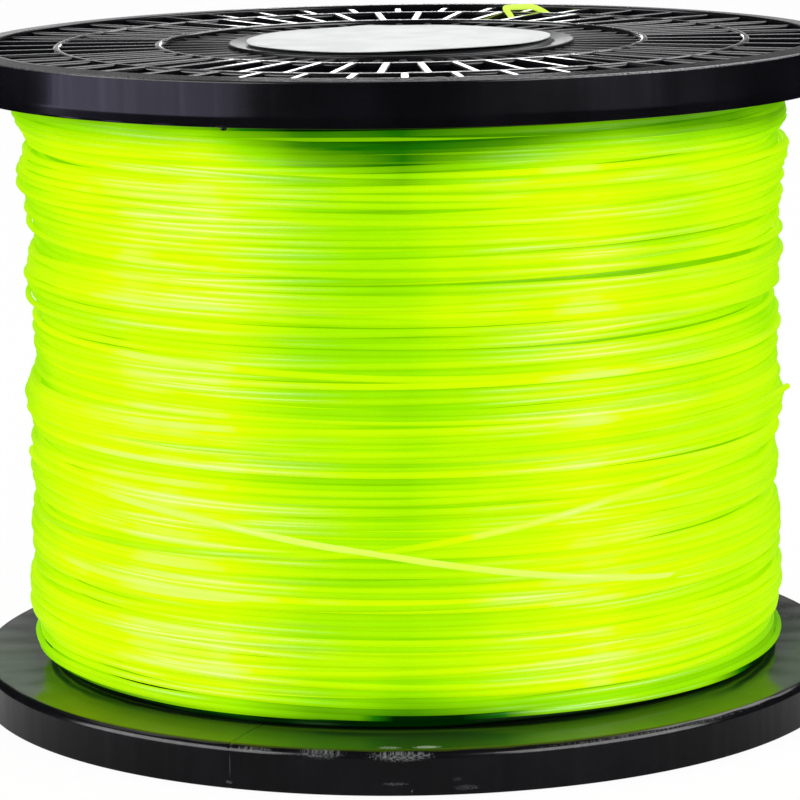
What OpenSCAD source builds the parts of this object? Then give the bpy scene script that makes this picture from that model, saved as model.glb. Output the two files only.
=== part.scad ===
// Bulk spool of fishing line, standing on its lower rim.
// Two ribbed flanges are pressed onto a hollow barrel, an arbor sleeve runs through
// both hubs, and the line is wound between the flanges.
// Millimetres. Origin: centre of the lower rim's standing face, +Z along the arbor.
// Compass angles are in degrees from the front (-Y), and grow towards +X.

/* [Spool] */
// Diameter of both flanges
flange_d = 127; // [127:0.5:140]
// Height over both rims
spool_h = 95.8; // [94:0.2:120]
// Outer diameter of the barrel that the line is wound on
barrel_d = 70.4; // [66:0.2:71]
// Wall of the barrel
barrel_wall = 1.8; // [1.2:0.1:2.6]
// Bore of the arbor sleeve
bore_d = 16; // [12:0.5:20]
// Wall of the arbor sleeve
sleeve_wall = 2; // [1.4:0.1:3]

/* [Flange] */
// Thickness of a flange at its rim
rim_h = 6.4; // [6:0.1:6.5]
// Radial width of the rim
rim_w = 3.8; // [2.8:0.1:4]
// Rounding of the rim's two outer edges
rim_round = 1.2; // [0.4:0.1:2]
// Thickness of the flat web that the ribs stand on
web_t = 1.8; // [1.2:0.1:2.4]
// Diameter of the middle of the outer ring wall
outer_ring_d = 99.6; // [99:0.2:100.4]
// Diameter of the hub
hub_d = 50.2; // [46:0.2:54]
// Thickness of the ring walls and of the hub's wall
ring_w = 1.2; // [0.8:0.1:1.6]
// How far the rings, the ribs and the hub lie below the rim
ring_drop = 0.35; // [0.2:0.05:0.8]

/* [Ribs] */
// Ribs in each of the three rings of ribs
rib_count = 48; // [48:1:50]
// Width of a rib
rib_w = 1.2; // [0.8:0.1:1.4]
// How much lower the ribs round the hub are
hub_rib_drop = 0.5; // [0:0.1:1]
// Compass angle of the first rib
rib_phase = 0.45; // [0:0.05:0.6]

/* [Label] */
// Diameter of the paper label
label_d = 44; // [36:0.5:45]
// Thickness of the paper label
label_t = 0.25; // [0.15:0.05:0.3]
// How far the label sits off the hub's centre, along X
label_shift = -0.4; // [-0.5:0.1:0.5]

/* [Line] */
// Diameter of the line
strand_d = 0.9; // [0.6:0.05:0.95]
// Diameter over the outer layer of turns
winding_d = 109.2; // [100:0.2:110]
// Loops in the outer layer
turn_count = 22; // [10:1:22]
// Diameter of one wound bundle of the outer layer
bundle_d = 3.1; // [2:0.1:3.1]
// Free space between the outer layer and the flanges
edge_gap = 0.25; // [0.1:0.05:1]

/* [Hidden] */

$fn = 96;

BLACK = "#1f1d22";
SLEEVE = "#26242a";
PAPER = "#f4f6f2";
LINE = "#bef500";
CORE = "#9ad000";

// Flange
flange_r = flange_d / 2;
rim_inner_r = flange_r - rim_w;
ring_h = rim_h - ring_drop;
hub_rib_h = ring_h - hub_rib_drop;
outer_ring_r = outer_ring_d / 2;
barrel_r = barrel_d / 2;
barrel_bore_r = barrel_r - barrel_wall;
hub_r = hub_d / 2;
hub_plate_t = 2;
bore_r = bore_d / 2;
sleeve_r = bore_r + sleeve_wall;
collar_w = 1.8;
collar_h = 6;
spigot_w = 1.6;
spigot_h = 5;
step = 360 / rib_count;

// Stations along the axis
wind_bottom = rim_h;
wind_top = spool_h - rim_h;
hub_top = spool_h - ring_drop;

// Outer layer of turns: 24 rings a loop, 6 sides, flat towards the axis
LOOP_RINGS = 24;
TURN_SIDES = 6;
TURN_END = 100;
ring_step = 360 / LOOP_RINGS;
bundle_r = bundle_d / 2;
turn_r = winding_d / 2 - bundle_r;
turn_top = wind_top - edge_gap - bundle_r;
turn_bottom = wind_bottom + edge_gap + bundle_r;
turn_steps = turn_count * LOOP_RINGS;
core_gap = 0.1;
core_r = turn_r * cos(ring_step / 2) - bundle_r - core_gap;

// Last turns, loose over the outer layer: compass angle against height, and against the
// distance out from the middle line of the outer layer. The line leaves the end of that
// layer low behind, crosses the front downwards and stands off the layer at its bare end.
LAST_SIDES = 6;
LAST_STEP = 7.5;
LAST_END = 798;
LAST_Z = [[100, 8.2], [120, 8.3], [130, 9.4], [140, 11.2], [180, 18.6], [230, 28.5],
          [262, 35], [275, 36.9], [298, 37.2], [314, 36.4], [330, 34.9], [345, 32.8],
          [360, 30.8], [373, 28.5], [388, 26.3], [402, 24.6], [420, 24], [444, 24.6],
          [500, 30], [580, 38], [635, 43.4], [660, 44.6], [720, 45], [780, 45.3],
          [798, 45.9]];
LAST_OUT = [[100, 0.7], [110, 1.1], [120, 1.7], [130, 2.2], [140, 2.3], [784, 2.3],
            [791, 2.8], [798, 3.9]];

// Tail of the line's start: out through the upper web, along a pocket, over the outer
// ring and a rib, and down into the next pocket. Heights are over the winding's top.
TAIL_SIDES = 8;
TAIL = [[13.8, 34.3, 0], [13.8, 34.3, 2.2], [14.4, 35.3, 3.6], [16.2, 36.6, 4.4],
        [17.5, 39.1, 4.9], [17.3, 42.1, 5.4], [16.8, 44.6, 6.1], [16.4, 46.3, 6.6],
        [16.7, 47.9, 6.6], [17.7, 48.9, 6.6], [19.2, 49.1, 6.6], [20.7, 48.8, 6.6],
        [22.1, 48.9, 6], [23.3, 49.8, 5.2], [24.3, 51.2, 4.3], [25, 52.6, 3.3],
        [25.3, 53.3, 2.5]];
TAIL_HOLE_R = 1;
TAIL_LEAN = [1, -1, 0];

// A point at a compass angle, radius and height
function at(angle, r, z) = [r * sin(angle), -r * cos(angle), z];
function unit(v) = v / norm(v);

// Direction of a path at point i
function heading(path, i) =
    unit(path[min(i + 1, len(path) - 1)] - path[max(i - 1, 0)]);

// One ring of a tube. Its sides are turned from the way that lean points, or, with no
// lean, from the way out from the spool's axis.
function tube_ring(path, i, r, sides, lean) =
    let(
        along = heading(path, i),
        out = is_undef(lean) ? [path[i].x, path[i].y, 0] : lean,
        side = unit(cross(along, out)),
        up = cross(side, along)
    )
    [for (k = [0 : sides - 1])
        let(a = 360 * (k + 0.5) / sides)
        path[i] + r * (cos(a) * up + sin(a) * side)];

// A closed tube of triangles along a path
module tube(path, r, sides, lean) {
    n = len(path);
    points = [for (i = [0 : n - 1]) each tube_ring(path, i, r, sides, lean)];
    walls = [for (i = [0 : n - 2], k = [0 : sides - 1])
        let(
            a = i * sides + k,
            b = i * sides + (k + 1) % sides,
            c = a + sides,
            d = b + sides
        )
        each [[a, c, b], [b, c, d]]];
    first = [for (k = [1 : sides - 2]) [0, k, k + 1]];
    base = (n - 1) * sides;
    last = [for (k = [1 : sides - 2]) [base, base + k + 1, base + k]];
    polyhedron(points = points, faces = concat(walls, first, last), convexity = 10);
}

// The end point of a path moved on straight by a length
function run_on(end, before, length) = end + length * unit(end - before);

// Middle line of the outer layer, down from the upper flange, with straight ends
turn_helix = [for (i = [0 : turn_steps])
    at(TURN_END + ring_step * (i - turn_steps), turn_r,
       turn_top + (turn_bottom - turn_top) * i / turn_steps)];
turn_end = run_on(turn_helix[turn_steps], turn_helix[turn_steps - 1], bundle_d);
turn_path = concat(
    [run_on(turn_helix[0], turn_helix[1], bundle_d)],
    turn_helix,
    [turn_end]
);

// Least gap of a tube to itself, between ring centres half a loop or more apart
function least_gap(path, d) =
    min([for (i = [0 : len(path) - 1 - LOOP_RINGS / 2],
              j = [i + LOOP_RINGS / 2 : min(i + 1.5 * LOOP_RINGS, len(path) - 1)])
        norm(path[i] - path[j])]) - d;

// Middle line of the last turns, from the end face of the outer layer to its bare end
last_start = turn_end + lookup(TURN_END, LAST_OUT) * unit([turn_end.x, turn_end.y, 0]);
last_run = strand_d * unit(turn_end - turn_helix[turn_steps]);
last_count = ceil((LAST_END - TURN_END) / LAST_STEP);
last_path = concat(
    [last_start, last_start + last_run],
    [for (i = [2 : last_count])
        let(angle = min(TURN_END + LAST_STEP * i, LAST_END))
        at(angle, turn_r + lookup(angle, LAST_OUT), lookup(angle, LAST_Z))]
);

tail_path = [for (p = TAIL) p + [0, 0, wind_top]];

// Half section of a flange with its inner face at z = 0, before its pockets are cut
module flange_section() {
    half = ring_w / 2;
    edge_r = flange_r - rim_round;
    polygon([
        [hub_r - ring_w, 0], [barrel_bore_r - spigot_w, 0],
        [barrel_bore_r - spigot_w, -spigot_h], [barrel_bore_r, -spigot_h],
        [barrel_bore_r, 0], [edge_r, 0], [edge_r, rim_round],
        [flange_r, rim_round], [flange_r, rim_h - rim_round],
        [edge_r, rim_h - rim_round], [edge_r, rim_h],
        [rim_inner_r, rim_h], [rim_inner_r, ring_h],
        [barrel_r - half, ring_h], [barrel_r - half, hub_rib_h],
        [hub_r, hub_rib_h], [hub_r, ring_h],
        [sleeve_r, ring_h], [sleeve_r, ring_h - collar_h],
        [sleeve_r + collar_w, ring_h - collar_h],
        [sleeve_r + collar_w, ring_h - hub_plate_t],
        [hub_r - ring_w, ring_h - hub_plate_t]
    ]);
    for (z = [rim_round, rim_h - rim_round])
        translate([edge_r, z])
            circle(r = rim_round);
}

// A plain ring of rectangular section
module ring(inner, outer, z, h) {
    translate([0, 0, z])
        difference() {
            cylinder(r = outer, h = h);
            translate([0, 0, -1])
                cylinder(r = inner, h = h + 2);
        }
}

// A ring of pockets between two ring walls, which leaves its ribs standing
module pockets(inner, outer, turn) {
    inner_half = inner * sin(step / 2) - rib_w / 2;
    outer_half = outer * sin(step / 2) - rib_w / 2;
    for (i = [0 : rib_count - 1])
        rotate([0, 0, rib_phase + turn + (i + 0.5) * step - 90])
            translate([0, 0, web_t])
                linear_extrude(rim_h)
                    polygon([[inner, -inner_half], [outer, -outer_half],
                             [outer, outer_half], [inner, inner_half]]);
}

// One flange with its inner face at z = 0 and its ribs towards +Z
module flange() {
    half = ring_w / 2;
    difference() {
        rotate_extrude()
            flange_section();
        pockets(outer_ring_r + half, rim_inner_r, 0);
        pockets(barrel_r + half, outer_ring_r - half, step / 2);
        pockets(hub_r, barrel_r - half, 0);
    }
}

module upper_flange() {
    color(BLACK)
        difference() {
            translate([0, 0, wind_top])
                flange();
            translate([TAIL[0].x, TAIL[0].y, wind_top - 1])
                cylinder(r = TAIL_HOLE_R, h = web_t + 2, $fn = 32);
        }
}

module lower_flange() {
    color(BLACK)
        translate([0, 0, rim_h])
            mirror([0, 0, 1])
                flange();
}

module barrel() {
    color(BLACK)
        ring(barrel_bore_r, barrel_r, wind_bottom, wind_top - wind_bottom);
}

module arbor_sleeve() {
    color(SLEEVE)
        ring(bore_r, sleeve_r, ring_drop, hub_top - ring_drop);
}

module upper_label() {
    color(PAPER)
        translate([label_shift, 0, hub_top])
            cylinder(r = label_d / 2, h = label_t);
}

module line_core() {
    color(CORE)
        ring(barrel_r, core_r, wind_bottom, wind_top - wind_bottom);
}

module line_outer_turns() {
    echo(least_gap_mm = least_gap(turn_path, bundle_d), loops = turn_count);
    color(LINE)
        tube(turn_path, bundle_r, TURN_SIDES);
}

module line_last_turn() {
    color(LINE)
        tube(last_path, strand_d / 2, LAST_SIDES);
}

module line_start_tail() {
    color(LINE)
        tube(tail_path, strand_d / 2, TAIL_SIDES, TAIL_LEAN);
}

upper_flange();
lower_flange();
barrel();
arbor_sleeve();
upper_label();
line_core();
line_outer_turns();
line_last_turn();
line_start_tail();
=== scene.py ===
"""Looks of the fishing line spool: moulded flanges, paper label, wound line and studio."""

import math

import bpy
import numpy as np
from bpy.props import FloatProperty, FloatVectorProperty, IntProperty, PointerProperty
from bpy.types import Operator, Panel, PropertyGroup
from mathutils import Matrix, Vector


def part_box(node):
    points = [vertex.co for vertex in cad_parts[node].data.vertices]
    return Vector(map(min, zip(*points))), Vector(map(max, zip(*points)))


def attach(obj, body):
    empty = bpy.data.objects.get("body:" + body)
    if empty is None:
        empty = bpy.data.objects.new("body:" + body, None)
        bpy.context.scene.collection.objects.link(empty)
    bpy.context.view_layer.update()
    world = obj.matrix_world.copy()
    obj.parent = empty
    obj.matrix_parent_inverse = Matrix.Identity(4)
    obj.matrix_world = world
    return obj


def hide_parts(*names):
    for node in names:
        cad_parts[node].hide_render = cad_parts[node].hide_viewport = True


bl_info = {
    "name": "Fishing Line Spool",
    "version": (1, 0, 0),
    "blender": (4, 5, 0),
    "location": "3D View > Sidebar > Spool",
    "description": "Builds the looks of a bulk spool of fishing line on its packed frame",
    "category": "Object",
}

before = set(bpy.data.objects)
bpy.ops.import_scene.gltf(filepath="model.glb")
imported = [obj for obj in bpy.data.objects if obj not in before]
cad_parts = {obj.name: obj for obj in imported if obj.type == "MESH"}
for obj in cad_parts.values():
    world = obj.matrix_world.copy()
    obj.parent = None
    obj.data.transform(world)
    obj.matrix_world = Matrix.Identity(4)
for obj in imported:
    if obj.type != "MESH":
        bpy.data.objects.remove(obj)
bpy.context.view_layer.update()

MM = 0.001
FLANGE_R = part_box("upper_flange")[1].x / MM
WIND_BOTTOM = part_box("line_core")[0].z / MM
WIND_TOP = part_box("line_core")[1].z / MM
BARREL_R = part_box("barrel")[1].x / MM
RIM_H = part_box("upper_flange")[1].z / MM - WIND_TOP
LABEL_LOW, LABEL_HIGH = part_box("upper_label")
LABEL_R = (LABEL_HIGH.x - LABEL_LOW.x) / 2 / MM
LABEL_X = (LABEL_HIGH.x + LABEL_LOW.x) / 2 / MM
LABEL_Z = LABEL_LOW.z / MM

# Parts of a flange, in millimetres over its inner face, as the frame has them
RIM_INNER_R = 59.7
OUTER_RING_R = 49.8
HUB_R = 25.1
SLEEVE_R = 10
RING_W = 1.2
WEB_T = 1.8
RING_H = 6.05
HUB_RIB_H = 5.55
RIB_COUNT = 48
RIB_PHASE = 0.45

# How far a rib reaches into the rings, and degrees between the columns of a flange
RIB_BITE = 0.4
COLUMN_STEP = 1.5

# The mould's parting line: its angle, its first radius and how much deeper it is in the
# inner face
SEAM_ANGLE = -22.75
SEAM_R = 50.5
FACE_SEAM = 4

# Place of the nib under the upper rim
NIB_ANGLE = -21.9
NIB_R = 62.6

# Edge of the rim at each inner face: radius, height over the face and rounding of corners
UPPER_LIP = [(FLANGE_R - 0.45, 0, 0.12), (FLANGE_R, 1.5, 1.3)]
LOWER_LIP = [(FLANGE_R, 0, 1.1)]

# Steps per turn of the winding, width of a bin of its height field, and depth of a layer
# that lies in the grooves of the one below it, in strands
TURN_STEPS = 144
BIN = 0.1
NESTING = 0.93

# How far the winding stands proud or shy of its mean radius, by height, at its left and
# right sides, and the heights of the grooves across its front
LEFT_SWELL = [(6, -0.9), (9, 0.4), (15.5, 1), (21.5, 0.3), (28, 0), (31, -1), (33.5, -0.2),
              (50, 0), (52, -1.4), (54.5, -0.3), (57, -0.5), (61, 1), (64.5, -0.4),
              (69, -0.2), (73, 0.9), (77, 1.4), (82.5, -0.4), (88.5, 2.1)]
RIGHT_SWELL = [(6, 0.2), (9, 0.9), (12, -0.6), (20, 0), (24.5, -0.9), (27.5, -0.4), (30.5, -1.3),
               (33, -0.7), (39, -1), (42, 0.6), (46, -0.7), (53, -0.6), (56, 0.4),
               (60, -1.3), (63, -0.8), (67, 0.6), (70, -0.5), (75, 0.3), (80, 0.9),
               (84, 0.1), (90, 0.3)]
FRONT_GROOVES = [9, 10.7, 14.1, 18.7, 20.8, 26.5, 31.4, 37, 39.6, 42.6, 46, 49, 52.7, 59.1,
                 62.1, 64.3, 68.7, 70.8, 74.8, 78.1, 82.8, 85.4]

# Painted light and shade of the turns by compass angle: palest between the front and either
# side, where the side lights fall
PAINTED_SHADE_BY_ANGLE = [(-180, 0.25), (-120, 0.2), (-90, 0.33), (-75, 0.26), (-61, 0.14), (-42, 0.06),
             (-27, 0.07), (-14, 0.29), (0, 0.31), (13, 0.17), (28, 0.08), (46, 0.17),
             (60, 0.2), (80, 0.3), (90, 0.33), (120, 0.2), (180, 0.25)]

# Painted shade under the upper flange: compass angle, heights where it starts and is full, depth
TOP_SHADE = [(-180, 85, 88.5, 0.25), (-64, 84, 87.5, 0.33), (-30, 84.5, 88.2, 0.45),
             (0, 80.5, 85, 0.51), (32, 84, 87.5, 0.55), (50, 83.3, 86.7, 0.5),
             (68, 82, 85.4, 0.38), (110, 84, 88, 0.3), (180, 85, 88.5, 0.25)]

# Painted shade at the foot of the winding: compass angle and the height where it starts
FOOT_SHADE = [(-180, 8), (-60, 8.5), (-30, 7.9), (-20, 7.8), (0, 8.9), (13, 8.8), (21, 8.3),
              (45, 7.9), (62, 8.4), (80, 8.4), (180, 8)]

# How far the lowest turns have crept up: compass angle and distance
FOOT_CREEP = [(-180, 0.3), (-90, 0.4), (-60, 0.4), (-35, 0), (0, 0), (15, 0.5), (75, 0.5),
              (110, 0.4), (180, 0.3)]

# A turn that climbs across the front over the others: compass angle and height
CLIMBING_TURN = [(-180, 29), (-120, 29.6), (-70, 29.4), (-40, 30), (-5, 31.2), (0, 32.2),
                 (9, 33.4), (18, 34.7), (29, 36.9), (36, 37.8), (48, 38.6), (80, 39.4),
                 (130, 38), (180, 36)]
# Painted light and shade on the climbing turn by compass angle: palest, a painted highlight, between
# 10 and 40 degrees
CLIMBING_PAINTED_SHADE = [(-20, 0.28), (0, 0.2), (10, 0.03), (40, 0.05), (60, 0.25)]

# The last turns, as the frame has them: compass angle and height, the stand-off of the
# bare end, and the light and shade painted on them, palest, a painted highlight, from 318
# to 402 degrees
LAST_TURN = [(100, 8.2), (120, 8.3), (130, 9.4), (140, 11.2), (180, 18.6), (230, 28.5),
             (262, 35), (275, 36.9), (298, 37.2), (314, 36.4), (330, 34.9), (345, 32.8),
             (360, 30.8), (373, 28.5), (388, 26.3), (402, 24.6), (420, 24), (444, 24.6),
             (500, 30), (580, 38), (635, 43.4), (660, 44.6), (720, 45), (780, 45.3),
             (798, 45.9)]
LAST_STAND_OFF = [(100, -0.5), (112, 0), (784, 0), (791, 0.5), (798, 1.6)]
LAST_PAINTED_SHADE = [(250, 0.2), (300, 0.16), (318, 0), (402, 0), (410, 0.1), (430, 0.24)]

# The tail of the line's start over the upper flange, as the frame has it: X, Y and the
# height over the winding
TAIL = [(13.8, 34.3, 0), (13.8, 34.3, 2.2), (14.4, 35.3, 3.6), (16.2, 36.6, 4.4),
        (17.5, 39.1, 4.9), (17.3, 42.1, 5.4), (16.8, 44.6, 6.1), (16.4, 46.3, 6.6),
        (16.7, 47.9, 6.6), (17.7, 48.9, 6.6), (19.2, 49.1, 6.6), (20.7, 48.8, 6.6),
        (22.1, 48.9, 6), (23.3, 49.8, 5.2), (24.3, 51.2, 4.3), (25, 52.6, 3.3),
        (25.3, 53.3, 2.5)]

# Scuffs of the lower rim: compass angle, way up the rim and over its edge, half widths
# and strength
SCUFFS = [(-2.7, 8.2, 1.9, 0.8, 1), (1.9, 8.3, 2.2, 0.9, 1.8), (-1.3, 5.9, 5, 1.2, 0.45),
          (-11, 6.2, 3.6, 1.3, 0.3), (-19.5, 6.2, 3, 0.6, 0.3), (-2, 1.9, 2, 0.3, 0.2),
          (0, 0.9, 0.2, 0.2, 0.5), (6.6, 1.2, 2, 0.5, 0.15), (5.5, 2.4, 0.8, 0.4, 0.08),
          (-22.8, 1.1, 0.6, 0.3, 0.3), (32, 6.3, 20, 0.4, 0.2),
          (SEAM_ANGLE + 0.1, 3.4, 0.13, 2.4, 0.15)]

# Painted highlights on the upper rim's edges: pale bands at the sides, broken up like rubbing,
# in the same way
PAINTED_EDGE_HIGHLIGHTS = [(45, 6.3, 45, 0.45, 1.1), (-48, 6.3, 26, 0.4, 0.6), (-62, 9.8, 14, 0.5, 1.3)]

# The camera's place in metres, its lens in millimetres and its angles in radians
CAMERA_PLACE = (0, -0.56805, 0.14527)
CAMERA_LENS = 176.35
CAMERA_TILT = math.radians(10.266)
CAMERA_ROLL = -0.01483
CAMERA_TURN = 0.00165

# Where the lights aim, in metres, and the radius of the floor in millimetres
LIGHT_AIM = (0, 0, 0.045)
FLOOR_R = 4000


def length_setting(name, description, default, low, high):
    """A length in metres that can be set."""
    return FloatProperty(
        name=name, description=description, default=default, min=low, max=high, unit="LENGTH"
    )


def colour_setting(name, description, default):
    """A colour that can be set."""
    return FloatVectorProperty(
        name=name, description=description, default=default, min=0, max=1, size=3,
        subtype="COLOR",
    )


def power_setting(name, description, default):
    """A light's power in watts that can be set."""
    return FloatProperty(
        name=name, description=description, default=default, min=0, unit="POWER"
    )


class SpoolLine(PropertyGroup):
    """The line and how it is wound."""

    strand: length_setting("Line diameter", "Diameter of the line", 0.0009, 0.0006, 0.00095)
    radius: length_setting("Winding radius", "Mean radius over the outer layer", 0.0548, 0.053, 0.0552)
    layers: IntProperty(
        name="Layers", description="Layers of separate turns over the inner ones",
        default=3, min=2, max=4,
    )
    pitch: length_setting("Pitch", "How far the guide moves along in a turn", 0.001, 0.0009, 0.0014)
    wander: length_setting("Wander", "How far a turn wanders off its even place", 0.0006, 0, 0.0015)
    seed: IntProperty(name="Seed", description="Seed of all that wanders", default=11)
    # The line's colours hold painted light and shade: lit where the side lights fall, painted shade in
    # front and behind, and painted shade under a flange
    lit: colour_setting("Lit colour", "Colour of the turns in full light", (0.72, 1.0, 0.0))
    green: colour_setting("Front colour", "Colour of the turns in front and behind", (0.33, 0.80, 0.0))
    deep: colour_setting("Shaded colour", "Colour of the turns in a flange's shade", (0.01, 0.16, 0.0))


class SpoolBody(PropertyGroup):
    """The moulded body and its label."""

    rib_width: length_setting("Rib width", "Width of a rib at its top", 0.0012, 0.0008, 0.0014)
    seam_depth: length_setting("Seam depth", "Depth of the mould's parting line", 0.00003, 0, 0.0003)
    plastic: colour_setting("Plastic colour", "Colour of the moulded body", (0.002, 0.0019, 0.0027))
    paper: colour_setting("Paper colour", "Colour of the bare label", (0.80, 0.82, 0.81))
    curl: length_setting("Label curl", "How far the label's edge lifts off the hub", 0.0004, 0, 0.0006)


class SpoolStudio(PropertyGroup):
    """The studio round the spool."""

    left: power_setting("Left light", "Power of the long soft light at the left", 7.5)
    right: power_setting("Right light", "Power of the long soft light at the right", 7.5)
    back: power_setting("Back light", "Power of the low panel behind the spool", 0.32)
    top: power_setting("Top light", "Power of the high light behind the spool's right side", 5.0)
    ambient: FloatProperty(
        name="Room light", description="Level of the light from all sides",
        default=0.5, min=0, max=1,
    )


class Wire:
    """One socket of a node graph. An operator used on it adds its Math node."""

    def __init__(self, graph, made, output):
        self.graph, self.made, self.socket = graph, made, made.outputs[output]

    def out(self, output):
        """Another output of the same node."""
        return Wire(self.graph, self.made, output)

    def math(self, operation, *values):
        """A Math node on this socket and other values."""
        inputs = dict(enumerate((self, *values)))
        return self.graph.node("ShaderNodeMath", {"operation": operation}, inputs)

    def __add__(self, other):
        return self.math("ADD", other)

    __radd__ = __add__

    def __mul__(self, other):
        return self.math("MULTIPLY", other)

    __rmul__ = __mul__

    def __sub__(self, other):
        return self.math("SUBTRACT", other)

    def __rsub__(self, other):
        return (self * -1) + other

    def __truediv__(self, other):
        return self.math("DIVIDE", other)


class Graph:
    """A node tree to which node() adds each node."""

    def __init__(self, tree):
        self.tree = tree
        tree.nodes.clear()

    def node(self, kind, settings=None, inputs=None, output=0):
        """Adds a node, makes its settings, then fills or links its sockets."""
        made = self.tree.nodes.new(kind)
        for name, value in (settings or {}).items():
            if name == "stops":
                ramp = made.color_ramp
                while len(ramp.elements) < len(value):
                    ramp.elements.new(1)
                for element, (place, colour) in zip(ramp.elements, value):
                    element.position, element.color = place, colour
            else:
                setattr(made, name, value)
        for name, value in (inputs or {}).items():
            if isinstance(value, Wire):
                self.tree.links.new(value.socket, made.inputs[name])
            else:
                made.inputs[name].default_value = value
        return Wire(self, made, output) if len(made.outputs) else made

    def mix(self, share, low, high):
        """A colour between two, by a share from 0 to 1."""
        return self.node(
            "ShaderNodeMix", {"data_type": "RGBA"}, {0: share, 6: low, 7: high}, 2
        )

    def rgb(self, red, green, blue):
        """A colour from three levels."""
        return self.node("ShaderNodeCombineColor", None, {0: red, 1: green, 2: blue})

    def emission(self, colour):
        """Light of a colour."""
        return self.node("ShaderNodeEmission", None, {"Color": colour, "Strength": 1.0})

    def ease(self, value, start, end):
        """0 up to start and 1 from end, with a smooth step between."""
        if start > end:
            return 1 - self.ease(value, end, start)
        return self.node(
            "ShaderNodeMapRange", {"interpolation_type": "SMOOTHSTEP"},
            {0: value, 1: start, 2: end, 3: 0.0, 4: 1.0},
        )

    def window(self, value, rise, fall):
        """1 between two eased steps, up over the pair rise and down over the pair fall."""
        return self.ease(value, *rise) * self.ease(value, fall[1], fall[0])

    def noise(self, place, scale, detail=2.0, roughness=0.5):
        """Smooth noise from 0 to 1."""
        return self.node(
            "ShaderNodeTexNoise", None,
            {"Vector": place, "Scale": scale, "Detail": detail, "Roughness": roughness},
        )

    def bump(self, height, strength, distance):
        """A normal that leans with the slope of a height."""
        return self.node(
            "ShaderNodeBump", None, {"Strength": strength, "Distance": distance, "Height": height}
        )


def rgba(colour):
    """A colour with full alpha."""
    return (*colour, 1.0)


def material(name):
    """A new material and the graph of its nodes."""
    made = bpy.data.materials.new(name)
    made.use_nodes = True
    return made, Graph(made.node_tree)


def surface(graph, inputs):
    """Ends a material's graph in one Principled shader."""
    shader = graph.node("ShaderNodeBsdfPrincipled", None, inputs)
    graph.node("ShaderNodeOutputMaterial", None, {"Surface": shader})


def spool_coordinates(graph):
    """Radius in mm, compass angle in degrees, height in mm, and the position."""
    place = graph.node("ShaderNodeTexCoord", output="Object")
    x = graph.node("ShaderNodeSeparateXYZ", None, {0: place})
    y, z = x.out(1), x.out(2)
    radius = (x * x + y * y).math("SQRT") * 1000
    angle = x.math("ARCTAN2", y * -1) * (180 / math.pi)
    return radius, angle, z * 1000, place


def line_nylon(settings):
    """Fluorescent monofilament: clear gloss over a colour that differs by the turn and holds painted
    light and shade, given off as light in a painted glow.
    """
    made, graph = material("fluorescent_line")
    _, angle, _, place = spool_coordinates(graph)
    # The tone attribute holds painted light and shade with a little random tone: from a pale painted
    # highlight through lit and the painted front shade to the painted shade under the flanges
    tone = graph.node("ShaderNodeAttribute", {"attribute_name": "tone"}, None, "Fac")
    share = tone + (graph.noise(place, 60, 2) - 0.5) * 0.2
    painted_glow = graph.node("ShaderNodeValToRGB", {"stops": (
        (0.0, rgba((*settings.lit[:2], 0.12))),
        (0.06, rgba(settings.lit)),
        (0.4, rgba(settings.green)),
        (0.8, rgba(settings.deep)),
        (1.0, rgba((0, 0.015, 0))),
    )}, {0: share})
    # The gloss differs from place to place along a turn, so its glints come and go
    turn = graph.node("ShaderNodeSeparateXYZ", None, {0: place})
    along = graph.node("ShaderNodeCombineXYZ", None, {
        0: turn * 0.05, 1: turn.out(1) * 0.05, 2: turn.out(2),
    })
    aside = angle.math("ABSOLUTE")
    glint = graph.ease(graph.noise(along, 520, 2), 0.47, 0.66)
    glint = glint * graph.ease(aside, 7, 18) * (1 - graph.ease(aside, 44, 54) * 0.9)
    # Most of the colour is given off as light, a painted glow that also fills the line's shade
    surface(graph, {
        "Base Color": graph.mix(0.75, painted_glow, rgba((0, 0, 0))),
        "Roughness": 0.45,
        "IOR": 1.53,
        "Specular IOR Level": 0.02,
        "Coat Weight": glint,
        "Coat Roughness": 0.42,
        "Coat IOR": 1.9,
        "Emission Color": painted_glow,
        "Emission Strength": 0.78,
    })
    return made


def line_paint(settings):
    """The line's one material, made when it is first asked for."""
    return bpy.data.materials.get("fluorescent_line") or line_nylon(settings)


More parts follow.
